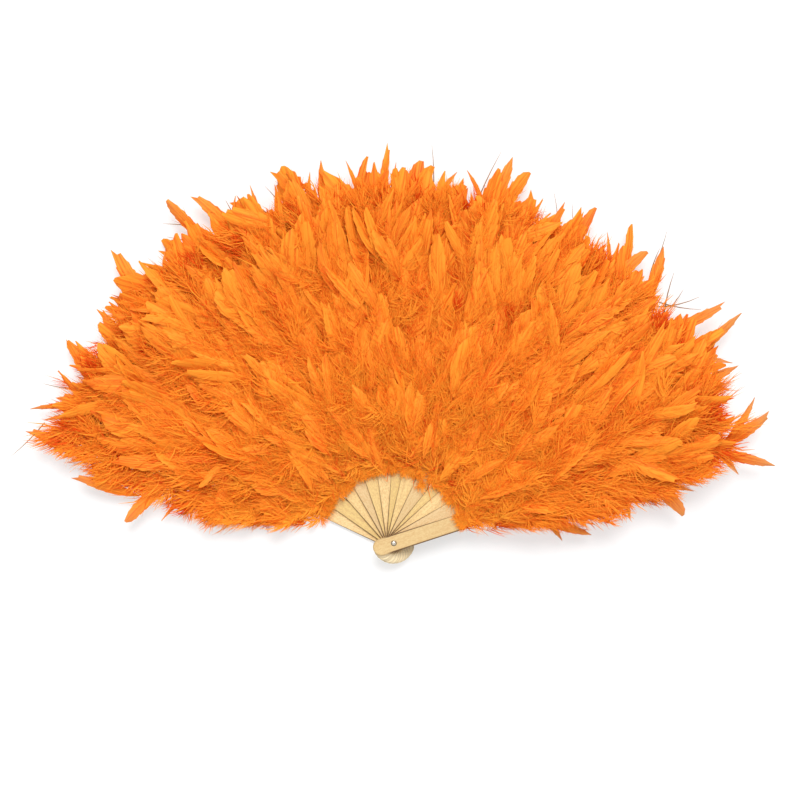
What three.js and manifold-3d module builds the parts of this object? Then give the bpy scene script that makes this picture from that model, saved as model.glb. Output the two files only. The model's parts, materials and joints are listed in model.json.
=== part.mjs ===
import * as THREE from 'three';
import { mergeVertices } from 'three/addons/utils/BufferGeometryUtils.js';
import Module from 'manifold-3d';

// Folding feather fan, lying open and flat on its back.
// Millimetres, +Z up. The origin is the foot of the rivet, on the rivet's axis.
// Thirteen bamboo staves turn about the rivet. Each lies on its own level, above its
// left-hand neighbour, and carries a set of down and a set of plume feathers.

const wasm = await Module();
wasm.setup();

// How far the fan opens, in degrees counted from +X, and where each stave stands in the spread
const rearGuardAngle = 155.5;
const openSpread = 137.5;
const staveAngleShares = [0, 0.074, 0.173, 0.254, 0.336, 0.418, 0.503, 0.568, 0.66, 0.759, 0.82, 0.908, 1];

// Inner staves
const staveLength = 215;
const staveWidth = 13.6;
const staveTipWidth = 8;
const staveThickness = 1.4;

// Guards, the thicker staves at both ends of the stack
const guardLength = 220;
const guardWidth = 14.4;
const guardTipWidth = 9;
const guardThickness = 2.4;

// Shapes that all staves share
const tailReach = 18.3;
const taperStart = 62;
const edgeChamfer = 0.25;
const seatStart = 55;
const shoulderLength = 3;
const seatDepthShare = 0.5;

// Rivet and its washer
const rivetShankRadius = 1.3;
const rivetHeadRadius = 2.4;
const rivetHeadHeight = 1.3;
const rivetHeadRim = 0.35;
const peenRadius = 2.1;
const peenHeight = 0.6;
const washerRadius = 3.2;
const washerThickness = 0.5;

// Clearances
const boreClearance = 0.2;
const runningGap = 0.15;
const glueGap = 0.15;
const threadEndGap = 0.3;
const cutOverrun = 2;

// Down, the short soft feathers next to the bare part of the staves
const downStart = 59;
const downEnd = 147;
const downPairs = 3;
const downWidth = 30;
const downFirstLength = 18;
const downLastLength = 42;
const downFirstAngle = 56;
const downLastAngle = 38;
const downLastRoot = 110;

// Plumes, the long feathers that make the rim of the fan
const plumeStart = 150.5;
const plumeEnd = 212;
const plumePairs = 3;
const plumeWidth = 32;
const plumeFirstLength = 54;
const plumeLastLength = 116;
const plumeFirstAngle = 58;
const plumeLastAngle = 11;
const featherReach = 340;
const longPlumeLength = 122;
const longPlumeWidth = 13;

// The band of glued feather roots that saddles each stave
const bandWrap = 1.8;
const rootInset = 5;

// The swell of the feathers over the level of their stave. They rise to the left, over the
// feathers of their neighbour, and arch beyond the tips of the staves. All sets swell alike, so
// they slide over each other as the fan folds. Those of the front guard also rise to the right.
const sideSwell = 7;
const sideSwellReach = 40;
const archHeight = 14;
const archTipHeight = 4;
const archTopShare = 0.5;

// How far the outermost sets lean out at the two sides of the fan, against the inner sets
const rearSideShare = 1.5;
const frontSideShare = 0.85;

// A vane from root to tip: places along its quill, its width there and its ridge height there
const vanePlaceShares = [0, 0.38, 0.8, 1];
const vaneWidthShares = [0.55, 1, 0.72, 0];
const vaneHeightShares = [0.9, 0.68, 0.5, 0];
const vaneSweepShares = [0.2, -0.15, 0.3, -0.1];
const vaneRings = 3;

// The tips that stand out of the rim: place in the spread, and reach against featherReach
const longTipShares = [
  [-0.145, 0.66], [-0.09, 0.82], [-0.087, 0.975], [-0.033, 0.975], [0.049, 0.963], [0.103, 0.93],
  [0.164, 1.015], [0.232, 1.013], [0.285, 0.93], [0.343, 0.98], [0.424, 0.96], [0.471, 0.998],
  [0.516, 0.995], [0.588, 1.01], [0.701, 0.975], [0.75, 0.985], [0.785, 0.998], [0.873, 1.023],
  [0.892, 1.04], [0.973, 0.975], [0.993, 0.995], [1.049, 0.97], [1.059, 0.76], [1.088, 0.59],
];

// Thread that links each stave to its left-hand neighbour
const threadRadius = 0.45;
const threadSteps = 3;
const threadHalfSides = 3;

const degree = Math.PI / 180;
const halfArcSteps = 4;
const turnedSteps = 16;
const domeSteps = 4;
const staveCount = staveAngleShares.length;
const lastStave = staveCount - 1;
const levelPitch = staveThickness + runningGap;
const rearGuardLevel = peenHeight + washerThickness + 2 * runningGap;
const firstStaveLevel = rearGuardLevel + guardThickness + runningGap;
const frontGuardLevel = firstStaveLevel + (staveCount - 2) * levelPitch;
const stackTop = frontGuardLevel + guardThickness;
const threadTrack = (downEnd + plumeStart) / 2;
const swellStart = guardWidth / 2 + 2 * runningGap;
const archStart = Math.max(staveLength, guardLength) + shoulderLength;
const archTop = archStart + (featherReach - archStart) * archTopShare;

const materials = {
  bamboo: new THREE.MeshStandardMaterial({ color: 0xf6dba6, roughness: 0.6, metalness: 0 }),
  guardBamboo: new THREE.MeshStandardMaterial({ color: 0xe9cd93, roughness: 0.55, metalness: 0 }),
  plume: new THREE.MeshStandardMaterial({ color: 0xff8420, roughness: 0.8, metalness: 0 }),
  down: new THREE.MeshStandardMaterial({ color: 0xf87a1e, roughness: 0.95, metalness: 0 }),
  thread: new THREE.MeshStandardMaterial({ color: 0xe8761c, roughness: 0.9, metalness: 0 }),
  metal: new THREE.MeshStandardMaterial({ color: 0xc9bfa8, roughness: 0.28, metalness: 1 }),
};

// Turns a closed geometry into a solid that can be joined and cut
function toSolid(geometry) {
  const bare = geometry.clone();
  bare.deleteAttribute('normal');
  bare.deleteAttribute('uv');
  const merged = mergeVertices(bare);
  return new wasm.Manifold(new wasm.Mesh({
    numProp: 3,
    vertProperties: new Float32Array(merged.attributes.position.array),
    triVerts: new Uint32Array(merged.index.array),
  }));
}

function toGeometry(solid) {
  const mesh = solid.getMesh();
  const geometry = new THREE.BufferGeometry();
  geometry.setAttribute('position', new THREE.BufferAttribute(mesh.vertProperties, 3));
  geometry.setIndex(new THREE.BufferAttribute(mesh.triVerts, 1));
  const faceted = geometry.toNonIndexed();
  faceted.computeVertexNormals();
  return faceted;
}

function mix(from, to, share) {
  return from + (to - from) * share;
}

function staveAngle(index) {
  return (rearGuardAngle - openSpread * staveAngleShares[index]) * degree;
}

function staveLevel(index) {
  if (index === 0) {
    return rearGuardLevel;
  }
  return firstStaveLevel + (index - 1) * levelPitch;
}

function isGuard(index) {
  return index === 0 || index === lastStave;
}

function staveSizes(index) {
  if (isGuard(index)) {
    return { length: guardLength, width: guardWidth, tipWidth: guardTipWidth, thickness: guardThickness };
  }
  return { length: staveLength, width: staveWidth, tipWidth: staveTipWidth, thickness: staveThickness };
}

// Half the width of a stave at a distance from the rivet
function halfWidthAt(stave, distance) {
  const taperLength = stave.length - stave.tipWidth / 2 - taperStart;
  const share = THREE.MathUtils.clamp((distance - taperStart) / taperLength, 0, 1);
  return mix(stave.width, stave.tipWidth, share) / 2;
}

// Outline of a stave seen from above: round tail, straight grip, drawn-in blade, round tip
function staveOutline(stave, margin) {
  const tailHalf = stave.width / 2 + margin;
  const tipHalf = stave.tipWidth / 2 + margin;
  const tailCentre = stave.width / 2 - tailReach;
  const tipCentre = stave.length - stave.tipWidth / 2;
  const outline = new THREE.Shape();
  outline.moveTo(taperStart, tailHalf);
  outline.absarc(tailCentre, 0, tailHalf, Math.PI / 2, -Math.PI / 2, false);
  outline.lineTo(taperStart, -tailHalf);
  outline.absarc(tipCentre, 0, tipHalf, -Math.PI / 2, Math.PI / 2, false);
  return outline;
}

// Everything above the feather seat, from its shoulder to beyond the tip
function seatCut(stave, margin) {
  const seatTop = stave.thickness * (1 - seatDepthShare) + margin;
  const start = seatStart + margin;
  const side = new THREE.Shape();
  side.moveTo(start + shoulderLength, seatTop);
  side.lineTo(stave.length + cutOverrun, seatTop);
  side.lineTo(stave.length + cutOverrun, stave.thickness + cutOverrun);
  side.lineTo(start, stave.thickness + cutOverrun);
  side.lineTo(start, stave.thickness);
  const across = stave.width + 2 * cutOverrun;
  const geometry = new THREE.ExtrudeGeometry(side, { depth: across, bevelEnabled: false });
  geometry.rotateX(Math.PI / 2);
  geometry.translate(0, across / 2, 0);
  return toSolid(geometry);
}

function staveGeometry(index) {
  const stave = staveSizes(index);
  const outline = staveOutline(stave, 0);
  const bore = new THREE.Path();
  bore.absarc(0, 0, rivetShankRadius + boreClearance, 0, 2 * Math.PI, true);
  outline.holes.push(bore);
  const geometry = new THREE.ExtrudeGeometry(outline, {
    depth: stave.thickness - 2 * edgeChamfer,
    bevelThickness: edgeChamfer,
    bevelSize: edgeChamfer,
    bevelOffset: -edgeChamfer,
    bevelSegments: 1,
    curveSegments: halfArcSteps,
  });
  geometry.translate(0, 0, edgeChamfer);
  return toGeometry(toSolid(geometry).subtract(seatCut(stave, 0)));
}

// The space that a stave and the glue round it take out of its feathers
function staveEnvelope(stave) {
  const geometry = new THREE.ExtrudeGeometry(staveOutline(stave, glueGap), {
    depth: stave.thickness + cutOverrun,
    bevelEnabled: false,
    curveSegments: halfArcSteps,
  });
  geometry.translate(0, 0, -cutOverrun / 2);
  return toSolid(geometry).subtract(seatCut(stave, glueGap));
}

// The band of glued roots, which reaches over both edges of its stave
function rootBand(stave, start, end) {
  const half = stave.width / 2 + bandWrap;
  const geometry = new THREE.BoxGeometry(end - start, 2 * half, stave.thickness);
  geometry.translate((start + end) / 2, 0, stave.thickness / 2);
  return toSolid(geometry);
}

// How high the feathers of a set lie over the level of their stave, at a place of its leaf
function swellAt(index, x, y) {
  const distance = Math.hypot(x, y);
  const rise = THREE.MathUtils.clamp((distance - archStart) / (archTop - archStart), 0, 1);
  const fall = Math.max(0, (distance - archTop) / (featherReach - archTop));
  const aside = index === lastStave ? Math.abs(y) : y;
  const side = (sideSwell * Math.max(0, aside - swellStart)) / sideSwellReach;
  return archHeight * rise - (archHeight - archTipHeight) * fall + side;
}

// A value of a table of shares at a place along the quill
function vaneShare(table, place) {
  let ring = 1;
  while (place > vanePlaceShares[ring]) {
    ring += 1;
  }
  const from = vanePlaceShares[ring - 1];
  return mix(table[ring - 1], table[ring], (place - from) / (vanePlaceShares[ring] - from));
}

// Where the rings of a vane lie: at its root, where the swell turns, and on the way to its tip
function ringDistances(rootDistance, tipDistance) {
  const inReach = (turn) => turn > rootDistance + rootInset && turn < tipDistance - rootInset;
  const distances = [rootDistance, ...[archStart, archTop].filter(inReach)];
  while (distances.length < vaneRings) {
    distances.push((distances[distances.length - 1] + tipDistance) / 2);
  }
  return distances;
}

// The points of a vane: the left edge, ridge and right edge of each ring, then the tip
function vanePoints(index, root, tip, sweepShare, width) {
  const rootTurn = Math.atan2(root.y, root.x);
  const tipTurn = Math.atan2(tip.y, tip.x);
  const points = [];
  const addPoint = (distance, turn, lift) => {
    const x = distance * Math.cos(turn);
    const y = distance * Math.sin(turn);
    points.push([x, y, swellAt(index, x, y) + lift]);
  };
  ringDistances(root.length(), tip.length()).forEach((distance) => {
    const place = (distance - root.length()) / (tip.length() - root.length());
    const turn = mix(rootTurn, tipTurn, place + sweepShare * place * (1 - place));
    const half = (width * vaneShare(vaneWidthShares, place)) / (2 * distance);
    addPoint(distance, turn + half, 0);
    addPoint(distance, turn, staveSizes(index).thickness * vaneShare(vaneHeightShares, place));
    addPoint(distance, turn - half, 0);
  });
  addPoint(tip.length(), tipTurn, 0);
  return points;
}

// One vane: flat underneath, ridged along its quill and pointed at its tip
function vane(index, root, tip, sweepShare, width) {
  const points = vanePoints(index, root, tip, sweepShare, width);
  const tipPoint = points.length - 1;
  const faces = [0, 2, 1];
  for (let ring = 0; ring < vaneRings; ring += 1) {
    for (let corner = 0; corner < 3; corner += 1) {
      const a = ring * 3 + corner;
      const b = ring * 3 + ((corner + 1) % 3);
      if (ring === vaneRings - 1) {
        faces.push(a, b, tipPoint);
      } else {
        faces.push(a, b, a + 3, b, b + 3, a + 3);
      }
    }
  }
  const geometry = new THREE.BufferGeometry();
  geometry.setAttribute('position', new THREE.Float32BufferAttribute(points.flat(), 3));
  geometry.setIndex(faces);
  return toSolid(geometry);
}

// A root on the edge of the band, on the side to which the vane leans
function rootBeside(rootX, tip) {
  return new THREE.Vector2(rootX, THREE.MathUtils.clamp(tip.y, -swellStart, swellStart));
}

// How far a set leans out on one side: the sets of the guards differ on the fan's outer sides
function sideShare(index, side) {
  if (index === 0 && side > 0) {
    return rearSideShare;
  }
  if (index === lastStave && side < 0) {
    return frontSideShare;
  }
  return 1;
}

// Pairs of vanes, the first next to the rivet, that stand off both sides of a stave
function pairedVanes(index, sizes) {
  const vanes = [];
  for (let pair = 0; pair < sizes.pairs; pair += 1) {
    const share = pair / (sizes.pairs - 1);
    const rootX = mix(sizes.firstRoot, sizes.lastRoot, share);
    const angle = mix(sizes.firstAngle, sizes.lastAngle, share) * degree;
    const length = mix(sizes.firstLength, sizes.lastLength, share);
    for (const side of [-1, 1]) {
      const reach = length * Math.sin(angle) * sideShare(index, side);
      const tip = new THREE.Vector2(rootX + length * Math.cos(angle), side * reach);
      tip.clampLength(0, sizes.tipLimit);
      const sweepShare = vaneSweepShares[(index + pair) % vaneSweepShares.length];
      vanes.push(vane(index, rootBeside(rootX, tip), tip, sweepShare, sizes.width));
    }
  }
  return vanes;
}

// The stave whose axis is nearest to a place in the spread
function nearestStave(placeShare) {
  let nearest = 0;
  staveAngleShares.forEach((share, index) => {
    if (Math.abs(share - placeShare) < Math.abs(staveAngleShares[nearest] - placeShare)) {
      nearest = index;
    }
  });
  return nearest;
}

// The long feathers of one stave, each ending where its tip stands out of the rim
function longVanes(index) {
  const vanes = [];
  longTipShares.forEach(([placeShare, reachShare], row) => {
    if (nearestStave(placeShare) !== index) {
      return;
    }
    const turn = (staveAngleShares[index] - placeShare) * openSpread * degree;
    const reach = reachShare * featherReach;
    const tip = new THREE.Vector2(reach * Math.cos(turn), reach * Math.sin(turn));
    const rootX = THREE.MathUtils.clamp(tip.x - longPlumeLength, plumeStart + rootInset, plumeEnd - rootInset);
    const sweepShare = vaneSweepShares[row % vaneSweepShares.length];
    vanes.push(vane(index, rootBeside(rootX, tip), tip, sweepShare, longPlumeWidth));
  });
  return vanes;
}

// The solid without the small sealed pockets that crossing vanes enclose
function outerShell(solid) {
  return solid.decompose().reduce((largest, next) => (next.volume() > largest.volume() ? next : largest));
}

function featherSet(index, start, end, vanes) {
  const stave = staveSizes(index);
  let set = rootBand(stave, start, end);
  for (const one of vanes) {
    set = set.add(one);
  }
  return toGeometry(outerShell(set.subtract(staveEnvelope(stave))));
}

function downGeometry(index) {
  const vanes = pairedVanes(index, {
    pairs: downPairs,
    width: downWidth,
    firstRoot: downStart + rootInset,
    lastRoot: downLastRoot,
    firstAngle: downFirstAngle,
    lastAngle: downLastAngle,
    firstLength: downFirstLength,
    lastLength: downLastLength,
    tipLimit: downEnd,
  });
  return featherSet(index, downStart, downEnd, vanes);
}

function plumeGeometry(index) {
  const vanes = pairedVanes(index, {
    pairs: plumePairs,
    width: plumeWidth,
    firstRoot: plumeStart + rootInset,
    lastRoot: plumeEnd - rootInset,
    firstAngle: plumeFirstAngle,
    lastAngle: plumeLastAngle,
    firstLength: plumeFirstLength,
    lastLength: plumeLastLength,
    tipLimit: featherReach,
  });
  return featherSet(index, plumeStart, plumeEnd, vanes.concat(longVanes(index)));
}

// The arc of thread from a stave's left edge down to the right edge of its neighbour
class ThreadPath extends THREE.Curve {
  constructor(fromAngle, toAngle, fromHeight, toHeight) {
    super();
    Object.assign(this, { fromAngle, toAngle, fromHeight, toHeight });
  }

  getPoint(share) {
    const angle = mix(this.fromAngle, this.toAngle, share);
    const height = mix(this.fromHeight, this.toHeight, share);
    return new THREE.Vector3(threadTrack * Math.cos(angle), threadTrack * Math.sin(angle), height);
  }
}

function threadEdgeAngle(stave) {
  return Math.asin((halfWidthAt(stave, threadTrack) + threadEndGap) / threadTrack);
}

function seatMiddle(stave) {
  return (stave.thickness * (1 - seatDepthShare)) / 2;
}

function threadGeometry(index) {
  const stave = staveSizes(index);
  const neighbour = staveSizes(index - 1);
  const path = new ThreadPath(
    threadEdgeAngle(stave),
    staveAngle(index - 1) - staveAngle(index) - threadEdgeAngle(neighbour),
    seatMiddle(stave),
    staveLevel(index - 1) - staveLevel(index) + seatMiddle(neighbour),
  );
  const section = new THREE.Shape();
  section.absarc(0, 0, threadRadius, 0, 2 * Math.PI, false);
  return new THREE.ExtrudeGeometry(section, {
    extrudePath: path,
    steps: threadSteps,
    curveSegments: threadHalfSides,
    bevelEnabled: false,
  });
}

// Rivet: domed head on the front guard, shank through every stave, peened foot under the washer
function rivetGeometry() {
  const headFoot = stackTop + runningGap;
  const domeFoot = headFoot + rivetHeadRim;
  const domeHeight = rivetHeadHeight - rivetHeadRim;
  const profile = [
    new THREE.Vector2(0, 0),
    new THREE.Vector2(peenRadius, 0),
    new THREE.Vector2(peenRadius, peenHeight / 2),
    new THREE.Vector2(rivetShankRadius, peenHeight),
    new THREE.Vector2(rivetShankRadius, headFoot),
    new THREE.Vector2(rivetHeadRadius, headFoot),
  ];
  for (let step = 0; step < domeSteps; step += 1) {
    const lift = (step / domeSteps) * (Math.PI / 2);
    const radius = rivetHeadRadius * Math.cos(lift);
    profile.push(new THREE.Vector2(radius, domeFoot + domeHeight * Math.sin(lift)));
  }
  profile.push(new THREE.Vector2(0, domeFoot + domeHeight));
  return turned(profile);
}

function washerGeometry() {
  const bottom = peenHeight + runningGap;
  const inner = rivetShankRadius + boreClearance;
  return turned([
    new THREE.Vector2(inner, bottom),
    new THREE.Vector2(washerRadius, bottom),
    new THREE.Vector2(washerRadius, bottom + washerThickness),
    new THREE.Vector2(inner, bottom + washerThickness),
    new THREE.Vector2(inner, bottom),
  ]);
}

// A profile of distances from the axis and heights, turned round +Z
function turned(profile) {
  const geometry = new THREE.LatheGeometry(profile, turnedSteps);
  geometry.rotateX(Math.PI / 2);
  return toGeometry(toSolid(geometry));
}

function named(name, geometry, material) {
  const mesh = new THREE.Mesh(geometry, material);
  mesh.name = name;
  return mesh;
}

function staveName(index) {
  if (index === 0) {
    return 'rear_guard';
  }
  if (index === lastStave) {
    return 'front_guard';
  }
  return `stave_${numbered(index)}`;
}

function numbered(index) {
  return String(index).padStart(2, '0');
}

// A stave with all that it carries, turned to its place and set on its level
function leaf(index) {
  const group = new THREE.Group();
  group.rotation.z = staveAngle(index);
  group.position.z = staveLevel(index);
  const bamboo = isGuard(index) ? materials.guardBamboo : materials.bamboo;
  group.add(named(staveName(index), staveGeometry(index), bamboo));
  group.add(named(`down_${numbered(index)}`, downGeometry(index), materials.down));
  group.add(named(`plume_${numbered(index)}`, plumeGeometry(index), materials.plume));
  if (index > 0) {
    group.add(named(`link_thread_${numbered(index)}`, threadGeometry(index), materials.thread));
  }
  return group;
}

const fan = new THREE.Group();
fan.add(named('rivet', rivetGeometry(), materials.metal));
fan.add(named('rear_washer', washerGeometry(), materials.metal));
for (let index = 0; index < staveCount; index += 1) {
  fan.add(leaf(index));
}

export default fan;
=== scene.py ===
import json
import math

import bpy
import numpy as np
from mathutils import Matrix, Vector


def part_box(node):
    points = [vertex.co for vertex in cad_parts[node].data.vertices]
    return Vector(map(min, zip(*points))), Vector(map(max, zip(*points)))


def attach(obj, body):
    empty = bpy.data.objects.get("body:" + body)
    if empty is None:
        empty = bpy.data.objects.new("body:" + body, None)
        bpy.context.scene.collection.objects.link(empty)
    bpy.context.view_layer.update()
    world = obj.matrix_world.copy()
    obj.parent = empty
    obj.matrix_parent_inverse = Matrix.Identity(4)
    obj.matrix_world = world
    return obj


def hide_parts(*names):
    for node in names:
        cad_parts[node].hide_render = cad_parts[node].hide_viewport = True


bl_info = {
    "name": "Feather fan",
    "version": (1, 0, 0),
    "blender": (4, 5, 0),
    "location": "View3D > Sidebar > Feather fan",
    "description": "Dresses a folding fan of bamboo staves with down, plumes, grain and a rivet",
    "category": "Object",
}

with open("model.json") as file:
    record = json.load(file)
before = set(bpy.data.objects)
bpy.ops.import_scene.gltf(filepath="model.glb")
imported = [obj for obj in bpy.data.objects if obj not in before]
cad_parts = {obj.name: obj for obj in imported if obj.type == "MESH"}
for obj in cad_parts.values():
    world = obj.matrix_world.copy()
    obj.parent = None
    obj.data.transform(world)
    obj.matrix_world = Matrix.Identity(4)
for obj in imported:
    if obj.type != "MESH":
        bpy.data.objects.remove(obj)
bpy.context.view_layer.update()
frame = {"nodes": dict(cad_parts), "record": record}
MM = 0.001

# Staves: their shares of the spread, from the couplings, and their angles about the rivet
SHARES = [0.0] + [c["ratio"] for c in frame["record"]["behaviour"]["couplings"]] + [1.0]
LAST = len(SHARES) - 1
REAR_ANGLE = math.radians(155.5)
SPREAD = math.radians(137.5)
STAVE_ANGLES = [REAR_ANGLE - SPREAD * share for share in SHARES]
BODIES = ["rear_leaf"] + [f"leaf_{k:02d}" for k in range(1, LAST)] + ["front_leaf"]
STAVE_NODES = ["rear_guard"] + [f"stave_{k:02d}" for k in range(1, LAST)] + ["front_guard"]
STAVE_TOPS = [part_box(node)[1].z for node in STAVE_NODES]

# Rivet to the end of a stave's tail, and where the tail is painted paler on the way there,
# as painted light against the shade of the staves above it
TAIL_REACH = 18.3 * MM
TAIL_LIGHT_START = -5 * MM
TAIL_LIGHT_END = -9 * MM

# Width of the browned line along a stave's edge, which is also painted shade along the joints
# between staves, and where it fades at the tail
BROWNED_SHADE_RIM = 1.4 * MM
BROWNED_SHADE_START = -8 * MM
BROWNED_SHADE_END = -3 * MM

# Rings of the rivet in millimetres, each a radius and a height: of its foot over the floor, and
# of its head over the level where it lies on the front guard
FOOT_RINGS = [(1.9, 0.0), (2.1, 0.12), (2.1, 0.32), (1.3, 0.6)]
HEAD_RINGS = [(1.3, 0.0), (2.3, 0.0), (2.4, 0.1), (2.4, 0.2), (2.2, 0.3), (1.85, 0.3)]
HEAD_GAP = 0.15 * MM
DOME_STEPS = 8

# Lowest and highest level of any feather
FLOOR_GAP = 0.6 * MM
CEILING = 47.0 * MM

# Rivet to where the down begins to rise, and how far on it has risen
DOWN_EDGE = 60.0 * MM
DOWN_RISE = 30 * MM

# Rivet to where the loose tufts begin to lie under the plumes of the rim
RIM_START = 225.0 * MM

# How the feathers swell over the level of their stave: to the left, and beyond the staves' tips
SWELL_START = 7.5 * MM
SIDE_SWELL = 0.175
ARCH_PLACES = np.array([223.0, 281.5, 340.0]) * MM
ARCH_HEIGHTS = np.array([0.0, 14.0, 4.0]) * MM

# Lower edge of the feathers: height over the rivet, from the left of it to the right
EDGE_PLACES = np.array([
    -325, -290, -270, -250, -221, -205, -173, -150, -100, -57, 0,
    55, 78, 100, 140, 172, 192, 205, 235, 250, 270, 325]) * MM
EDGE_HEIGHTS = np.array([
    84, 72, 61, 48, 42, 31, 16, 13, 14, 15, 18,
    9, 10, 13, 12, 13, 21, 28, 34, 46, 57, 68]) * MM

# Feathers that would start below that edge start somewhere in a band over it
EDGE_BAND = 14 * MM

# Low at the sides the feathers droop: over what height, from how far aside, over what distance
# it grows, and by what angle
DROOP_HEIGHT = 70 * MM
DROOP_START = 60 * MM
DROOP_RUN = 90 * MM
DROOP_ANGLE = 0.9

# Height over the lower edge that is left without plumes, and over what height more they thin out,
# to the left and to the right, and over what height the painted shade on the tufts underneath grows
BARE_HEIGHT = 12 * MM
THIN_LEFT = 70 * MM
THIN_RIGHT = 120 * MM
UNDER_SHADE_HEIGHT = 30 * MM

# Over what height above the lower edge the combed tufts thin out, and how far apart their mounds are
FRINGE_HEIGHT = 60 * MM
FRINGE_WAVES = 60 * MM

# Sector of a stave as a share of the gap to the next one, the outer side of a guard's, and how
# far outside it a plume may have its root
SECTOR_SHARE = 0.75
OUTER_SECTOR = math.radians(24)
SECTOR_MARGIN = 0.05

# Distances between waves in the plumes: in their bends, headings, mounds and reach, and in the
# headings of the tufts
BEND_WAVES = 90 * MM
HEADING_WAVES = 110 * MM
MOUND_WAVES = 62 * MM
REACH_WAVES = 45 * MM
TUFT_WAVES = 70 * MM

# Share of the usual reach of the plumes at places in the spread
RIM_PLACES = [0.70, 0.80, 0.90, 0.96, 1.04, 1.12]
RIM_SHARES = [1.0, 0.99, 1.0, 1.0, 0.93, 0.90]

# Tips that stand out of the rim: place in the spread, reach, lean as a share of a half turn,
# width, and whether the tip is blunt
LONG_TIP_SHARES = [
    (-0.147, 0.668, 0.34, 0.60, 1), (-0.141, 0.585, 0.33, 0.30, 0), (-0.092, 0.820, -0.04, 0.50, 1),
    (-0.053, 0.962, -0.05, 0.55, 1), (-0.038, 0.925, 0.19, 0.35, 0), (-0.033, 0.972, 0.17, 0.40, 0),
    (-0.005, 0.920, 0.00, 0.75, 1), (0.018, 0.945, -0.13, 0.50, 0), (0.051, 0.960, -0.09, 0.60, 1),
    (0.103, 0.929, -0.19, 0.65, 0), (0.160, 1.014, -0.12, 0.75, 1), (0.199, 0.929, -0.23, 0.40, 0),
    (0.231, 1.024, 0.06, 0.60, 1), (0.258, 1.005, 0.12, 0.60, 1), (0.298, 0.951, -0.18, 0.35, 0),
    (0.317, 0.964, -0.02, 0.35, 0), (0.345, 0.981, 0.16, 0.65, 1), (0.384, 0.951, -0.10, 0.40, 0),
    (0.398, 0.971, -0.05, 0.45, 0), (0.424, 0.962, 0.10, 0.35, 0), (0.447, 0.966, -0.12, 0.40, 1),
    (0.472, 0.998, -0.07, 0.40, 1), (0.479, 0.953, -0.05, 0.30, 0), (0.504, 0.955, -0.04, 0.90, 1),
    (0.547, 0.939, -0.18, 0.40, 0), (0.557, 0.946, 0.25, 0.30, 0), (0.601, 1.005, -0.02, 0.70, 0),
    (0.622, 0.985, -0.09, 0.70, 1), (0.673, 0.952, -0.05, 0.45, 1), (0.701, 0.974, 0.01, 0.55, 1),
    (0.727, 0.941, 0.23, 0.35, 0), (0.743, 0.992, 0.19, 0.45, 1), (0.774, 0.963, -0.05, 0.60, 1),
    (0.784, 0.998, 0.17, 0.80, 0), (0.871, 1.021, -0.05, 0.50, 1), (0.888, 1.040, 0.05, 0.55, 0),
    (0.928, 0.956, -0.23, 0.45, 0), (0.933, 0.966, -0.01, 0.65, 0), (0.970, 0.970, 0.25, 0.45, 0),
    (0.993, 0.994, 0.10, 0.55, 1), (1.039, 0.822, -0.17, 0.80, 0), (1.048, 0.968, -0.15, 0.60, 0),
    (1.050, 0.874, -0.37, 0.50, 0), (1.060, 0.759, -0.15, 0.40, 0), (1.071, 0.631, -0.34, 0.35, 0),
    (1.090, 0.724, -0.32, 0.65, 1), (1.091, 0.591, -0.47, 0.40, 0), (1.114, 0.493, -0.12, 0.50, 0),
    (1.126, 0.419, -0.33, 0.40, 0),
]

# Bare quills: place in the spread, reach, lean and the length that shows
QUILL_SHARES = [
    (-0.085, 0.976, 0.30, 0.07), (-0.001, 0.961, 0.05, 0.05), (0.120, 0.928, 0.23, 0.01),
    (0.211, 0.946, 0.26, 0.03), (0.215, 0.982, 0.30, 0.02), (0.253, 0.704, -0.05, 0.08),
    (0.286, 0.951, 0.01, 0.02), (0.307, 0.921, 0.25, 0.02), (0.332, 0.943, 0.14, 0.03),
    (0.373, 0.857, 0.02, 0.07), (0.401, 0.570, 0.08, 0.09), (0.433, 0.672, 0.07, 0.08),
    (0.516, 0.995, 0.07, 0.08), (0.559, 0.771, -0.13, 0.07), (0.588, 1.009, -0.08, 0.07),
    (0.654, 0.960, 0.23, 0.05), (0.678, 0.948, 0.16, 0.07), (0.700, 0.617, 0.06, 0.06),
    (0.776, 1.028, 0.17, 0.04), (0.782, 0.984, 0.11, 0.04), (0.811, 0.966, 0.16, 0.06),
    (0.831, 0.955, 0.13, 0.04), (0.848, 0.973, -0.07, 0.06), (0.860, 0.958, -0.22, 0.06),
    (0.947, 0.895, 0.08, 0.03), (0.996, 0.905, -0.10, 0.03),
]

# Hidden length of a bare quill, and how far the lean of a tip moves its root in the spread
QUILL_ROOT = 12 * MM
ROOT_SHIFT = 0.2

# The tuft that hangs over the bare bamboo: place in the spread, and how far it reaches in
LOOSE_TUFT = 0.67
LOOSE_DROP = 11 * MM

# Plumes, in half widths: length of the quill, widths of the web from its root to its tip, where it
# starts, slant of its tip and depth of its cup, and how far the barbs open and how long they are
POINTED_PLUMES = [
    (6.0, (0.08, 0.38, 0.56, 0.62, 0.60, 0.50, 0.32, 0.04), 0.20, 0.0, 0.20, (0.60, 2.2)),
    (6.4, (0.06, 0.28, 0.44, 0.52, 0.52, 0.44, 0.28, 0.03), 0.20, 0.1, 0.16, (0.50, 2.0)),
]
BLUNT_PLUMES = [
    (5.6, (0.08, 0.38, 0.56, 0.64, 0.64, 0.56, 0.46, 0.32), 0.22, 0.5, 0.20, (0.58, 2.1)),
    (6.0, (0.07, 0.32, 0.48, 0.56, 0.56, 0.52, 0.44, 0.30), 0.22, -0.3, 0.18, (0.55, 2.0)),
]
BROAD_PLUMES = [
    (5.2, (0.08, 0.46, 0.72, 0.86, 0.88, 0.74, 0.50, 0.14), 0.26, -0.3, 0.24, (0.70, 2.2)),
]

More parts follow.
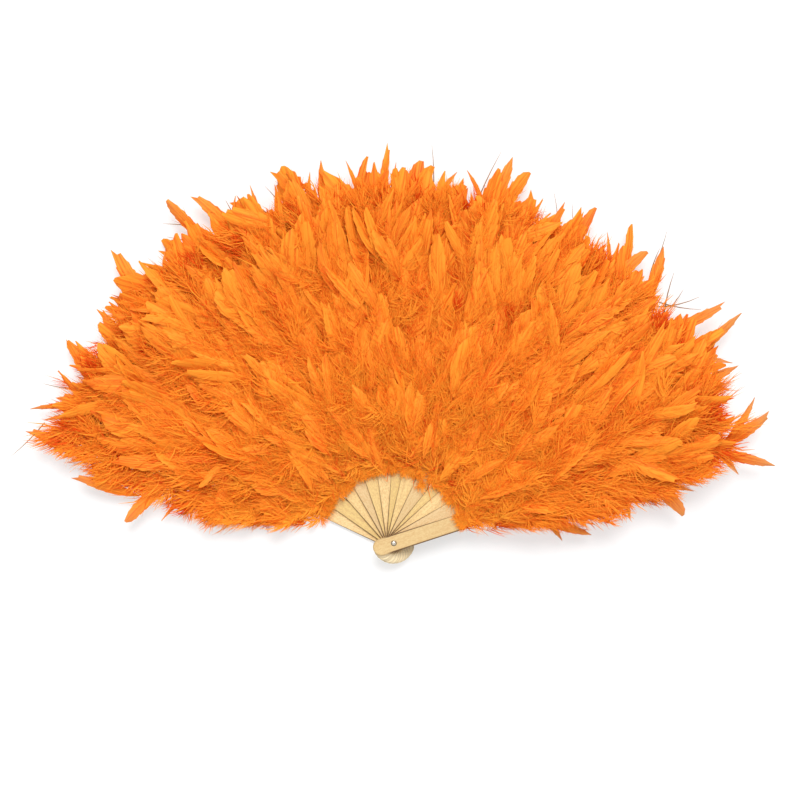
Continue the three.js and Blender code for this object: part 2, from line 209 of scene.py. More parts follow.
# Tufts, in half widths: length of the quill, thickness of a barb, and at the root and the tip how
# far the barbs open and how long they are
DOWN_TUFTS = [(2.2, 0.036, (0.80, 0.30), (2.0, 1.4)), (1.6, 0.038, (0.62, 0.25), (2.2, 1.7))]
PLUME_TUFTS = [(3.4, 0.036, (0.60, 0.20), (2.2, 1.5)), (2.8, 0.040, (0.42, 0.16), (2.6, 1.7))]

# Pairs of barbs on a tuft and on a plume, points of a barb, and its thickness on a plume
TUFT_PAIRS = 13
PLUME_PAIRS = 9
BARB_POINTS = 6
PLUME_BARB = 0.036

# What follow_quills reads of each place
PLACE_COLUMNS = (
    "x", "y", "z", "heading", "bend", "length", "width", "lift", "arch", "roll", "twist")

# Height of the feathers at which the camera's field is measured
FIELD_LEVEL = 12 * MM

# What each point of a feather carries for its material
POINT_LAYERS = ("along", "across", "tone", "strand", "fade")

# Strand values: those of loose barbs lie below the first, a web and a bare quill have their own
BARB_STRANDS = 0.75
WEB_STRAND = 1.0
QUILL_STRAND = 2.0

# A share whose multiples spread tones evenly over barbs and staves
GOLDEN = 0.618

# Painted light: the paler colour of the staves' tails, against the shade of the staves above them
PAINTED_TAIL_LIGHT = (1.0, 0.86, 0.58, 1.0)
# A browner colour towards the ends of some long tips, most of all at the two sides of the fan
BROWNER_TIP = (0.64, 0.27, 0.095, 1.0)
DARK_QUILL = (0.36, 0.22, 0.11, 1.0)
PALE_QUILL = (1.0, 0.42, 0.07, 1.0)
DULL_PLATE = (0.60, 0.53, 0.42, 1.0)
BRIGHT_PLATE = (0.9, 0.86, 0.76, 1.0)
# Painted shade for the crease round the rivet's head
PAINTED_CREASE_SHADE = (0.10, 0.06, 0.025, 1.0)
WHITE = (1.0, 1.0, 1.0, 1.0)
FLOOR_WHITE = (0.97, 0.97, 0.97, 1.0)


def count_setting(name, description, default, least=1):
    return bpy.props.IntProperty(name=name, description=description, default=default, min=least)


def length_setting(name, description, default):
    """A length whose default is given in millimetres."""
    return bpy.props.FloatProperty(
        name=name, description=description, default=default * MM, unit="LENGTH")


def colour_setting(name, description, *shares):
    """A colour whose default is given as shares of red, green and blue."""
    return bpy.props.FloatVectorProperty(
        name=name, description=description, default=(*shares, 1.0), subtype="COLOR", size=4)


class FeatherFanPlumes(bpy.types.PropertyGroup):
    """Sizes and colours of the long feathers."""

    seed: count_setting("Seed", "Start of the random draws for all feathers", 7, 0)
    count: count_setting("Plumes per stave", "Webbed plumes on each stave", 215)
    tufts: count_setting("Tufts per stave", "Loose tufts among the plumes of each stave", 600)
    fringe: count_setting(
        "Fringe per stave", "Combed tufts, of which those low at the sides are kept", 260)
    reach: length_setting("Reach", "Rivet to the ring of long tips", 340)
    rim: length_setting("Rim", "Rivet to the tips of ordinary plumes", 317)
    inner: length_setting("Inner ring", "Rivet to the tips of the first plumes", 106)
    length: length_setting("Length", "Length of an ordinary plume", 70)
    width: length_setting("Width", "Scale of an ordinary plume across its quill", 21)
    long_length: length_setting("Long length", "Length of a plume that stands out of the rim", 82)
    tuft_length: length_setting("Tuft length", "Length of a loose tuft", 30)
    tuft_width: length_setting("Tuft width", "Scale of a loose tuft across its quill", 17)
    colour: colour_setting("Colour", "Dyed barbs in the light", 1.0, 0.352, 0.028)
    # Deep colour: deeper dye, and also the painted shade of feathers that lie low, in pits or
    # underneath
    deep_dye_and_shade: colour_setting("Deep colour", "Deeper dye, and painted shade between the barbs", 0.78, 0.074, 0.002)


class FeatherFanDown(bpy.types.PropertyGroup):
    """Sizes and colours of the short soft feathers."""

    count: count_setting("Tufts per stave", "Soft tufts on the down of each stave", 230)
    edge_count: count_setting("Edge tufts", "Short tufts on the ragged inner edge", 34)
    start: length_setting("Start", "Rivet to the ragged edge of the down", 59.5)
    end: length_setting("End", "Rivet to the end of the down", 146)
    length: length_setting("Length", "Length of a soft tuft", 23)
    width: length_setting("Width", "Scale of a soft tuft across its quill", 15)
    colour: colour_setting("Colour", "Dyed down in the light", 1.0, 0.380, 0.030)
    # Deep colour: deeper dye, and also the painted shade of tufts that lie low, in pits or underneath
    deep_dye_and_shade: colour_setting("Deep colour", "Deeper dye, and painted shade between the barbs", 0.70, 0.054, 0.001)


class FeatherFanBamboo(bpy.types.PropertyGroup):
    """Widths and colours of the staves and guards."""

    face: colour_setting("Face", "Planed face of an inner stave", 0.79, 0.565, 0.245)
    guard: colour_setting("Guard", "Planed face of the front guard", 0.70, 0.50, 0.245)
    grain: colour_setting("Grain", "Dark fibres in the grain", 0.58, 0.36, 0.15)
    side: colour_setting("Side", "Sawn side of a stave", 0.55, 0.36, 0.17)
    # Edge: the browned line, which also stands for painted shade along the joints between staves
    edge: colour_setting("Edge", "Browned line with painted shade along the edge of a stave", 0.09, 0.035, 0.008)
    width: length_setting("Stave width", "Width of an inner stave", 13.6)
    guard_width: length_setting("Guard width", "Width of a guard", 14.4)


class FeatherFanStage(bpy.types.PropertyGroup):
    """Floor, light and camera."""

    centre: bpy.props.FloatVectorProperty(
        name="Centre", description="Point of the floor under the camera", size=2,
        default=(5.2 * MM, 120.9 * MM), unit="LENGTH")
    field: length_setting("Field", "Width that the camera takes in", 680)
    lens: bpy.props.FloatProperty(
        name="Lens", description="Focal length", default=95.0, unit="CAMERA")
    sky: bpy.props.FloatProperty(name="Sky", description="Strength of the even light", default=0.75)
    sun: bpy.props.FloatProperty(
        name="Sun", description="Strength of the soft key light", default=2.3)


def deselect_all():
    if bpy.context.object is not None and bpy.context.object.mode != "OBJECT":
        bpy.ops.object.mode_set(mode="OBJECT")
    bpy.ops.object.select_all(action="DESELECT")


def move(x, y, z):
    bpy.ops.transform.translate(value=(x, y, z))


def stretch(x, y, z, place=0):
    """Scales the selection about a place on X."""
    bpy.ops.transform.resize(value=(x, y, z), center_override=(place, 0, 0))


def turn(angle, axis):
    """Turns the selection about an axis through the origin."""
    bpy.ops.transform.rotate(value=angle, orient_axis=axis, center_override=(0, 0, 0))


def select_points(piece, wanted):
    """Selects the vertices of a piece in edit mode that a test picks out."""
    bpy.ops.mesh.select_all(action="DESELECT")
    bpy.ops.object.mode_set(mode="OBJECT")
    for point in piece.data.vertices:
        point.select = bool(wanted(point.co))
    bpy.ops.object.mode_set(mode="EDIT")


def select_first(piece, count):
    """Selects the vertices that a piece was begun with."""
    bpy.ops.mesh.select_all(action="DESELECT")
    bpy.ops.object.mode_set(mode="OBJECT")
    for point in list(piece.data.vertices)[:count]:
        point.select = True
    bpy.ops.object.mode_set(mode="EDIT")


class Master:
    """A feather modelled once: its points along, across and above its quill, and its faces."""

    def __init__(self, piece, barbs):
        mesh = piece.data
        points = np.array([p.co for p in mesh.vertices], float)
        low, high = points.min(0), points.max(0)
        self.along = points[:, 0] / high[0]
        self.across = points[:, 1]
        self.up = points[:, 2]
        self.corners = np.array([i for face in mesh.polygons for i in face.vertices], int)
        self.sizes = np.array([len(face.vertices) for face in mesh.polygons], int)
        self.flat = (points[:, :2] - low[:2]) / (high[:2] - low[:2])
        barb = np.arange(len(points)) // BARB_POINTS
        own = np.modf(barb * GOLDEN)[0] * BARB_STRANDS
        self.strand = np.where(barb < barbs, own, WEB_STRAND)
        bpy.data.objects.remove(piece)


def add_strip(rows, columns, length):
    """A flat strip from 0 to its length along X, one unit to either side of X, in edit mode."""
    deselect_all()
    bpy.ops.mesh.primitive_grid_add(x_subdivisions=rows, y_subdivisions=columns, size=2)
    bpy.ops.object.mode_set(mode="EDIT")
    move(1, 0, 0)
    stretch(length / 2, 1, 1)
    return bpy.context.object


def shape_rows(piece, length, widths, drops):
    """Draws each cross row of a strip in to its width and moves it across by its drop."""
    step = length / (len(widths) - 1)
    for row, (width, drop) in enumerate(zip(widths, drops)):
        select_points(piece, lambda co, place=row * step: abs(co.x - place) < 0.3 * step)
        stretch(1, width, 1, row * step)
        move(0, drop, 0)


def place_barb(piece, rng, root, side, opening, length):
    """Copies the barb at the origin and sets the copy beside the quill, tilted on its own line."""
    select_first(piece, BARB_POINTS)
    bpy.ops.mesh.duplicate()
    stretch(length, rng.uniform(0.3, 1.7), 1)
    if side < 0:
        stretch(1, -1, 1)
        bpy.ops.mesh.flip_normals()
    turn(rng.uniform(-0.45, 0.45), "X")
    turn(rng.uniform(-0.1, 0.45), "Y")
    turn(-side * (opening + rng.uniform(-0.25, 0.25)), "Z")
    move(root, 0, 0)


def model_barbs(rng, roots, thick, openings, lengths):
    """A quill's loose barbs: one bowed, tapered barb is modelled and copied to both sides."""
    piece = add_strip(2, 1, 1.0)
    shape_rows(piece, 1.0, (thick, 0.8 * thick, 0.12 * thick), (0, 0.08, 0))
    step = roots[1] - roots[0]
    places = np.linspace(0, 1, len(lengths))
    for root in roots:
        share = (root - roots[0]) / (roots[-1] - roots[0])
        opening = np.interp(share, places, openings)
        length = np.interp(share, places, lengths)
        for side in (-1, 1):
            start = root + step * rng.uniform(-0.4, 0.4)
            place_barb(piece, rng, start, side, opening, length * rng.uniform(0.6, 1.2))
    select_first(piece, BARB_POINTS)
    bpy.ops.mesh.delete(type="VERT")
    bpy.ops.object.mode_set(mode="OBJECT")
    return piece


def select_margin(web, place, reach, least):
    """Selects the points of one cross row that lie beyond a least distance to one side."""
    side = math.copysign(1, least)
    select_points(web, lambda co: abs(co.x - place) < reach and co.y * side > abs(least))


def fray_margins(web, rng, step, widths, cup):
    """Pulls every second point of a web's margins on as a tooth, and bends the margins down."""
    rows = len(widths)
    for row in range(1, rows):
        tooth = row % 2 and row < rows - 2
        for side in (-1, 1):
            select_margin(web, row * step, 0.3 * step, side * 0.3 * widths[row])
            shift = step * (rng.uniform(0.2, 0.7) if tooth else rng.uniform(-0.2, 0.1))
            fray = rng.uniform(0.0, 0.1) if tooth else rng.uniform(-0.1, -0.02)
            drop = -cup * rng.uniform(0.7, 1.2)
            move(shift, side * widths[row] * fray, drop)


def model_web(rng, span, start, widths, slant, cup):
    """The smooth web at the end of a feather: a cupped strip with uneven margins and a cut tip."""
    length = span * (1 - start)
    rows = 2 * len(widths) - 1
    step = length / (rows - 1)
    widths = np.interp(np.linspace(0, 1, rows), np.linspace(0, 1, len(widths)), widths)
    web = add_strip(rows - 1, 2, length)
    shape_rows(web, length, widths, [0] * rows)
    fray_margins(web, rng, step, widths, cup)
    select_margin(web, length, 0.6 * step, 0.3 * widths[-1])
    move(slant, 0, 0)
    bpy.ops.mesh.select_all(action="SELECT")
    move(span * start, 0, 0.05)
    bpy.ops.object.mode_set(mode="OBJECT")
    return web


def join_pieces(first, second):
    deselect_all()
    second.select_set(True)
    first.select_set(True)
    bpy.context.view_layer.objects.active = first
    bpy.ops.object.join()
    return first


def model_plume(rng, span, widths, start, slant, cup, barbs):
    """A whole plume: loose barbs below, a smooth web above, whose first part they cross."""
    opening, length = barbs
    roots = np.linspace(0.05, 0.72 * span, PLUME_PAIRS)
    openings = (opening, 0.75 * opening, 0.6 * opening)
    lengths = (length, 0.85 * length, 0.5 * length)
    pieces = model_barbs(rng, roots, PLUME_BARB, openings, lengths)
    web = model_web(rng, span, start, widths, slant, cup)
    return Master(join_pieces(pieces, web), 2 * PLUME_PAIRS)


def model_quill():
    """A bare quill, a thin tapered strip."""
    quill = add_strip(4, 1, 5.0)
    shape_rows(quill, 5.0, (0.06, 0.055, 0.045, 0.03, 0.012), (0, 0, 0, 0, 0))
    bpy.ops.object.mode_set(mode="OBJECT")
    master = Master(quill, 0)
    master.strand[:] = QUILL_STRAND
    return master


def model_tuft(rng, span, thick, openings, lengths):
    """A short soft feather: loose barbs all along its quill."""
    roots = np.linspace(0.0, span * 0.8, TUFT_PAIRS)
    return Master(model_barbs(rng, roots, thick, openings, lengths), 2 * TUFT_PAIRS)


class Copies:
    """Places for many copies of a master feather, one row each."""

    def __init__(self, **columns):
        self.columns = {name: np.asarray(values, float) for name, values in columns.items()}
        self.columns.setdefault("fade", np.zeros(len(self)))

    def __getitem__(self, name):
        return self.columns[name]

    def __len__(self):
        return len(self.columns["x"])

    def pick(self, rows):
        return Copies(**{name: values[rows] for name, values in self.columns.items()})


def share_out(rng, masters, copies):
    """Gives each copy one of the masters."""
    kind = rng.integers(0, len(masters), len(copies))
    return [(master, copies.pick(kind == i)) for i, master in enumerate(masters) if (kind == i).any()]


def curved(bend):
    """Keeps a bend away from zero, so that its arc has a radius."""
    return np.where(np.abs(bend) < 1e-3, 1e-3, bend)


def follow_quills(master, copies):
    """Bends each copy of the master along its own quill, an arc in plan with its own rise."""
    x, y, z, heading, bend, length, width, lift, arch, roll, twist = (
        copies[name][:, None] for name in PLACE_COLUMNS)
    t = master.along[None, :]
    bend = curved(bend)
    turned = heading + bend * t
    run_x = length / bend * (np.sin(turned) - np.sin(heading))
    run_y = length / bend * (np.cos(heading) - np.cos(turned))
    rise = lift * t + arch * 4 * t * (1 - t)
    roll = roll + twist * t
    across = master.across[None, :] * (width / 2)
    up = master.up[None, :] * (width / 2)
    sideways = across * np.cos(roll) - up * np.sin(roll)
    points = np.empty((len(copies), len(master.along), 3))
    points[:, :, 0] = x + run_x - np.sin(turned) * sideways
    points[:, :, 1] = y + run_y + np.cos(turned) * sideways
    points[:, :, 2] = z + rise + across * np.sin(roll) + up * np.cos(roll)
    return points


def hung_from_tips(x, y, tip_heading, bend, length, root_z, tip_z, **columns):
    """Copies whose tips lie at given places: each root lies where its bent quill starts."""
    heading = tip_heading - bend
    arc = curved(bend)
    run_x = length / arc * (np.sin(heading + arc) - np.sin(heading))
    run_y = length / arc * (np.cos(heading) - np.cos(heading + arc))
    return Copies(
        x=x - run_x, y=y - run_y, z=root_z, heading=heading, bend=bend, length=length,
        lift=tip_z - root_z, **columns)


def soft_limit(z, low, high):
    """Presses heights into a range, gently towards its ends."""
    middle, half = (low + high) / 2, (high - low) / 2
    share = (z - middle) / half
    pressed = np.sign(share) * (0.8 + 0.2 * np.tanh((np.abs(share) - 0.8) / 0.2))
    return middle + half * np.where(np.abs(share) < 0.8, share, pressed)


def feather_mesh(name, groups):
    """One mesh of many feathers, with how far along and across its quill each point lies."""
    points, corners, sizes, bake = [], [], [], []
    layers = {label: [] for label in POINT_LAYERS}
    cells = math.ceil(math.sqrt(sum(len(copies) for _, copies in groups)))
    start = cell = 0
    for master, copies in groups:
        count, each = len(copies), len(master.along)
        points.append(follow_quills(master, copies).reshape(-1, 3))
        corners.append((master.corners[None, :] + start + np.arange(count)[:, None] * each).ravel())
        sizes.append(np.tile(master.sizes, count))
        for label in ("along", "across", "strand"):
            layers[label].append(np.tile(getattr(master, label), count))
        for label in ("tone", "fade"):
            layers[label].append(np.repeat(copies[label], each))
        order = cell + np.arange(count)
        corner = np.stack([order % cells, order // cells], axis=1)
        flat = (corner[:, None, :] + 0.08 + 0.84 * master.flat[None, :, :]) / cells
        bake.append(flat.reshape(-1, 2))
        start += count * each
        cell += count
    points = np.concatenate(points)
    points[:, 2] = soft_limit(points[:, 2], FLOOR_GAP, CEILING)
    corners = np.concatenate(corners)
    mesh = build_mesh(name, points, corners, np.concatenate(sizes))
    for label, values in layers.items():
        layer = mesh.attributes.new(label, "FLOAT", "POINT")
        layer.data.foreach_set("value", np.concatenate(values).astype(np.float32))
    layer = mesh.uv_layers.new(name="OFBake")
    layer.data.foreach_set("uv", np.concatenate(bake)[corners].astype(np.float32).ravel())
    piece = bpy.data.objects.new(name, mesh)
    bpy.context.scene.collection.objects.link(piece)
    return piece


def build_mesh(name, points, corners, sizes):
    mesh = bpy.data.meshes.new(name)
    mesh.vertices.add(len(points))
    mesh.vertices.foreach_set("co", points.astype(np.float32).ravel())
    mesh.loops.add(len(corners))
    mesh.loops.foreach_set("vertex_index", corners.astype(np.int32))
    mesh.polygons.add(len(sizes))
    starts = np.concatenate([[0], np.cumsum(sizes)[:-1]])
    mesh.polygons.foreach_set("loop_start", starts.astype(np.int32))
    mesh.polygons.foreach_set("use_smooth", np.ones(len(sizes), bool))
    mesh.update(calc_edges=True)
    mesh.validate()
    return mesh


def swell(x, y, seed, size):
    """A smooth field from about -1 to 1, whose waves are about a size apart."""
    k = 2 * math.pi / size
    waves = (
        np.sin(k * (x + 0.4 * y) + seed) + np.sin(k * (0.9 * y - 0.5 * x) * 1.2 + 1.7 * seed)
        + np.sin(k * (0.7 * x + 0.8 * y) * 1.6 + 2.9 * seed)
        + np.sin(k * (0.8 * x - 0.7 * y) * 2.1 + 0.6 * seed)
    )
    return waves / 2.6


def mounds(x, y, seed, size):
    """How high the mounds of feathers are at a place, from about 0 to 1."""
    return 0.5 + 0.5 * swell(x, y, seed, size)


def lower_edge(x):
    """Height over the rivet below which no plume reaches, at a distance to the right of it."""
    return np.interp(x, EDGE_PLACES, EDGE_HEIGHTS)


def droop_at(x, y):
    """How far the feathers low at the sides turn downwards, an angle to add to their heading."""
    low = np.clip(1 - (y - lower_edge(x)) / DROOP_HEIGHT, 0, 1)
    aside = np.clip((np.abs(x) - DROOP_START) / DROOP_RUN, 0, 1)
    return -DROOP_ANGLE * np.sign(x) * low ** 1.3 * aside


def sector(index):
    """Left and right limits of the part of the fan that the feathers of a stave cover."""
    own = STAVE_ANGLES[index]
    left = right = OUTER_SECTOR
    if index > 0:
        left = (STAVE_ANGLES[index - 1] - own) * SECTOR_SHARE
    if index < LAST:
        right = (own - STAVE_ANGLES[index + 1]) * SECTOR_SHARE
    return own + left, own - right


def share_of_area(index):
    """How large the sector of a stave is, next to a usual one."""
    left, right = sector(index)
    return (left - right) / (2 * SECTOR_SHARE * SPREAD / LAST)


def nearest_stave(share):
    return int(np.argmin([abs(share - own) for own in SHARES]))


def spread_places(rng, index, count, near, far, outward=1.0):
    """Random places over the sector of a stave, even over its area, kept above the lower edge."""
    left, right = sector(index)
    share = ((np.arange(count) + rng.uniform(0, 1, count)) / count) ** outward
    reach = np.sqrt(near ** 2 + share * (far ** 2 - near ** 2))
    angle = rng.uniform(right, left, count)
    reach *= np.interp((REAR_ANGLE - angle) / SPREAD, RIM_PLACES, RIM_SHARES)
    x = reach * np.cos(angle)
    y = reach * np.sin(angle)
    edge = lower_edge(x)
    return x, np.where(y < edge, edge + rng.uniform(0, EDGE_BAND, count), y)


def flared_heading(index, x, y):
    """Heading of a feather whose tip is at a place: outwards, away from its stave, and drooping."""
    radial = np.arctan2(y, x)
    return radial + (radial - STAVE_ANGLES[index]) * 0.7 + droop_at(x, y)


def level_at(index, x, y):
    """Level on which a stave's feathers lie at a place: its own, and the swell there."""
    own = STAVE_ANGLES[index]
    aside = y * np.cos(own) - x * np.sin(own)
    if index == LAST:
        aside = np.abs(aside)
    side = SIDE_SWELL * np.clip(aside - SWELL_START, 0, None)
    return STAVE_TOPS[index] + side + np.interp(np.hypot(x, y), ARCH_PLACES, ARCH_HEIGHTS)


def ragged_rim(rng, x, y, rim):
    """Draws places in or out, the more the nearer they lie to the rim."""
    ragged = 0.06 * swell(x, y, 11.0, REACH_WAVES) + rng.uniform(-0.03, 0.03, len(x))
    ragged = 1 + ragged * np.clip(np.hypot(x, y) / rim, 0, 1) ** 3
    return x * ragged, y * ragged


def plume_levels(rng, index, x, y, out_share, mound, upper):
    """Heights of the roots and tips of plumes: the upper ones on the mounds, the others below."""
    count = len(x)
    level = level_at(index, x, y)
    inland = np.clip(2 - 2.5 * out_share, 0, 1)
    root_z = STAVE_TOPS[index] + (rng.uniform(0.3, 4, count) + 2.5 * inland) * MM
    tip_z = level + (8 * mound + rng.uniform(0, 4, count) + 3 * inland) * MM
    low_root = rng.uniform(0.2, 0.9, count) * STAVE_TOPS[index]
    low_tip = rng.uniform(0.1, 0.9, count) * level
    return np.where(upper, root_z, low_root), np.where(upper, tip_z, low_tip)


def rooted_in_sector(index, copies):
    """Which copies have their root in the sector of their stave."""
    left, right = sector(index)
    angle = np.arctan2(copies["y"], copies["x"])
    return (angle > right - SECTOR_MARGIN) & (angle < left + SECTOR_MARGIN)


def plume_copies(rng, index, sizes):
    """Places of the webbed plumes of one stave."""
    count = round(sizes.count * share_of_area(index))
    x, y = spread_places(rng, index, count, sizes.inner, sizes.rim, 1.1)
    x, y = ragged_rim(rng, x, y, sizes.rim)
    out_share = (np.hypot(x, y) - sizes.inner) / (sizes.rim - sizes.inner)
    bend = rng.normal(0, 0.4, count) + 0.4 * swell(x, y, 1.0, BEND_WAVES)
    tip_heading = flared_heading(index, x, y) + rng.normal(0, 0.2, count)
    tip_heading += 0.4 * swell(x, y, 3.0, HEADING_WAVES)
    length = sizes.length * (0.66 + 0.42 * out_share) * rng.uniform(0.75, 1.25, count)
    width = sizes.width * (0.8 + 0.25 * out_share) * rng.uniform(0.6, 1.25, count)
    mound = mounds(x, y, 7.0, MOUND_WAVES)
    upper = rng.uniform(0, 1, count) < 0.74
    root_z, tip_z = plume_levels(rng, index, x, y, out_share, mound, upper)
    height = y - lower_edge(x) - BARE_HEIGHT
    kept = rng.uniform(0, 1, count) < height / np.where(x > 0, THIN_RIGHT, THIN_LEFT)
    # Painted light and shade in the tone: upper plumes lighter the higher their mound, lower plumes
    # darker, the more so inland
    shaded = -1.8 * np.clip(4 - 4 * out_share, 0.1, 1)
    uneven = np.where(out_share > 0.85, 0.3, 0.7)
    copies = hung_from_tips(
        x, y, tip_heading, bend, length, root_z, tip_z,
        width=width, arch=rng.uniform(0, 4, count) * MM,
        roll=rng.normal(0, 0.22, count), twist=rng.normal(0, 0.4, count),
        tone=uneven * rng.normal(0, 1, count) + np.where(upper, 1.7 * mound - 0.6, shaded),
    )
    return copies.pick(kept & rooted_in_sector(index, copies))


def stave_rows(table, index):
    """The columns of those rows of a table of places whose roots are nearest to one stave."""
    rows = [row for row in table if nearest_stave(row[0] + ROOT_SHIFT * row[2]) == index]
    return np.array(rows).reshape(len(rows), len(table[0])).T


def tip_places(place, reach, lean, full_reach):
    """Where tips lie that are given as shares, and their headings."""
    angle = REAR_ANGLE - SPREAD * place
    out = full_reach * reach
    return out * np.cos(angle), out * np.sin(angle), angle + lean * math.pi


def long_tip_copies(rng, index, sizes, blunt):
    """Places of the plumes with blunt or pointed tips that stand out of the rim at one stave."""
    rows = stave_rows(LONG_TIP_SHARES, index)
    place, reach, lean, wide, _ = rows[:, rows[4] == blunt]
    count = len(place)
    x, y, tip_heading = tip_places(place, reach, lean, sizes.reach)
    bend = 0.6 * lean * math.pi + rng.normal(0, 0.12, count)
    length = sizes.long_length * rng.uniform(0.75, 1.0, count) * (0.5 + 0.5 * reach)
    root_z = STAVE_TOPS[index] * 0.8 + rng.uniform(1, 5, count) * MM
    tip_z = 0.4 * level_at(index, x, y) + rng.uniform(4, 13, count) * MM
    return hung_from_tips(
        x, y, tip_heading, bend, length, root_z, tip_z,
        width=sizes.width * wide * (1.2 + 0.25 * blunt), arch=rng.uniform(0, 4, count) * MM,
        roll=rng.normal(0, 0.15, count), twist=rng.normal(0, 0.2, count),
        tone=rng.normal(-0.2, 0.6, count),
        # How much browner the end of each long tip turns, most of all at the two sides of the fan
        fade=rng.uniform(0.0, 0.4, count) + 0.6 * (place > 0.86) + 0.3 * (place < 0),
    )


def quill_copies(rng, index, sizes):
    """Places of the few bare quills of one stave: dark at the rim, pale on the plumes."""
    place, reach, lean, shows = stave_rows(QUILL_SHARES, index)
    count = len(place)
    x, y, tip_heading = tip_places(place, reach, lean, sizes.reach)
    bend = rng.normal(0, 0.25, count)
    length = 1.1 * shows * sizes.reach + QUILL_ROOT
    level = level_at(index, x, y)
    at_rim = reach > 0.9
    root_z = level * np.where(at_rim, 0.3, 1.0) + 1 * MM
    tip_z = level * np.where(at_rim, 0.7, 1.0) + rng.uniform(5, 9, count) * MM
    return hung_from_tips(
        x, y, tip_heading, bend, length, root_z, tip_z,
        width=rng.uniform(14, 21, count) * MM, arch=np.zeros(count),
        roll=rng.normal(0, 0.3, count), twist=np.zeros(count), tone=np.where(at_rim, -1.0, 1.0),
    )


def trim_low(rng, groups):
    """Leaves out the copies that would hang too far below the lower edge."""
    kept = []
    for master, copies in groups:
        points = follow_quills(master, copies)
        spare = (points[:, :, 1] - lower_edge(points[:, :, 0])).min(axis=1)
        kept.append((master, copies.pick(spare > -rng.uniform(1, 8, len(copies)) * MM)))
    return kept


def tuft_rise(reach, mound):
    """How far the upper tufts may stand over the level of their stave, in millimetres."""
    at_rim = np.clip(reach / RIM_START - 1, 0, 0.25) * 4
    risen = np.clip((reach - DOWN_EDGE) / DOWN_RISE, 0.12, 1)
    return at_rim, 9 * mound * risen * (1 - at_rim)


def tuft_copies(rng, index, count, near, far, length, width, chaos, waves):
    """Places of loose tufts of one stave: near and far limit their roots, waves part their mounds."""
    count = round(count * share_of_area(index))
    x, y = spread_places(rng, index, count, near, far)
    bend = rng.normal(0, 0.45, count)
    heading = flared_heading(index, x, y) + rng.normal(0, chaos, count)
    heading += 0.5 * swell(x, y, 5.0, TUFT_WAVES)
    mound = mounds(x, y, 9.0, waves)
    level = level_at(index, x, y)
    upper = rng.uniform(0, 1, count) < 0.75
    at_rim, rise = tuft_rise(np.hypot(x, y), mound)
    top = level + (0.3 + rise * rng.uniform(0, 1, count) ** 0.7 - 3 * at_rim) * MM
    root_z = np.where(upper, top, level * rng.uniform(0.15, 0.9, count))
    # Painted light and shade in the tone: upper tufts lighter on mounds and darker in pits, tufts
    # underneath darker the further above the lower edge they lie
    inside = np.clip((y - lower_edge(x)) / UNDER_SHADE_HEIGHT, 0, 1)
    pit_shade = 22 * np.clip(0.32 - mound, 0, 0.3)
    return Copies(
        x=x, y=y, z=root_z, heading=heading - bend / 2, bend=bend,
        length=length * rng.uniform(0.6, 1.3, count), width=width * rng.uniform(0.6, 1.4, count),
        lift=rng.uniform(0, 1, count) * (2 + 0.6 * rise) * MM, arch=rng.uniform(0, 2, count) * MM,
        roll=rng.normal(0, 0.4, count), twist=rng.normal(0, 0.4, count),
        tone=rng.normal(0, 1, count) + np.where(upper, 2.4 * mound - 0.6 - pit_shade, -1.8 * inside),
    )


def fringe_copies(rng, index, sizes):
    """Places of the longer tufts that lie combed over the lower sides."""
    copies = tuft_copies(
        rng, index, sizes.fringe, near=sizes.inner, far=sizes.rim - 30 * MM,
        length=1.5 * sizes.tuft_length, width=sizes.tuft_width, chaos=0.12, waves=FRINGE_WAVES)
    height = copies["y"] - lower_edge(copies["x"])
    return copies.pick(rng.uniform(0, 1, len(copies)) < 1.3 - height / FRINGE_HEIGHT)


def edge_tuft_copies(rng, index, sizes):
    """The ragged edge: short tufts that lie back over the bare part of a stave."""
    count = sizes.edge_count
    own = STAVE_ANGLES[index]
    left, right = sector(index)
    angle = rng.uniform(max(right, own - 0.13), min(left, own + 0.13), count)
    ragged = 1.5 * math.sin(2.4 * index) - (3 if index == LAST else 1)
    reach = sizes.start + (ragged + rng.uniform(4, 11, count)) * MM
    if index == nearest_stave(LOOSE_TUFT):
        reach -= LOOSE_DROP * np.exp(-((angle - own) / 0.04) ** 2)
    heading = angle + math.pi + rng.normal(0, 0.55, count)
    return Copies(
        x=reach * np.cos(angle), y=reach * np.sin(angle),
        z=STAVE_TOPS[index] + rng.uniform(0.4, 2.4, count) * MM, heading=heading,
        bend=rng.normal(0, 0.7, count), length=rng.uniform(5, 10, count) * MM,
        width=rng.uniform(5, 9, count) * MM, lift=rng.uniform(-0.4, 1.2, count) * MM,
        arch=rng.uniform(0, 1, count) * MM, roll=rng.normal(0, 0.4, count),
        twist=rng.normal(0, 0.6, count), tone=rng.normal(1.5, 1, count),
    )


def put(tree, node, values):
    """Links the inputs of a node, given by name or number, to other sockets, or sets them."""
    for key, value in values.items():
        if isinstance(value, bpy.types.NodeSocket):
            tree.links.new(value, node.inputs[key])
        else:
            node.inputs[key].default_value = value


def add_node(tree, kind, values, output=0, **settings):
    """Adds a shader node with its settings and inputs, and gives one of its outputs."""
    node = tree.nodes.new("ShaderNode" + kind)
    for name, value in settings.items():
        setattr(node, name, value)
    put(tree, node, values)
    return node.outputs[output]


def calc(tree, operation, *values):
    return add_node(tree, "Math", dict(enumerate(values)), operation=operation)


def plus(tree, first, second):
    return calc(tree, "ADD", first, second)


def minus(tree, first, second):
    return calc(tree, "SUBTRACT", first, second)


def times(tree, first, second):
    return calc(tree, "MULTIPLY", first, second)


def size_of(tree, value):
    """A value without its sign."""
    return calc(tree, "ABSOLUTE", value)


def colour_mix(tree, share, first, second):
    return add_node(tree, "Mix", {0: share, 6: first, 7: second}, 2, data_type="RGBA")


def mix_shaders(tree, share, first, second, output):
    """Blends two shaders and links them to the tree's output node."""
    blend = add_node(tree, "MixShader", {0: share, 1: first, 2: second})
    put(tree, tree.nodes[output], {"Surface": blend})


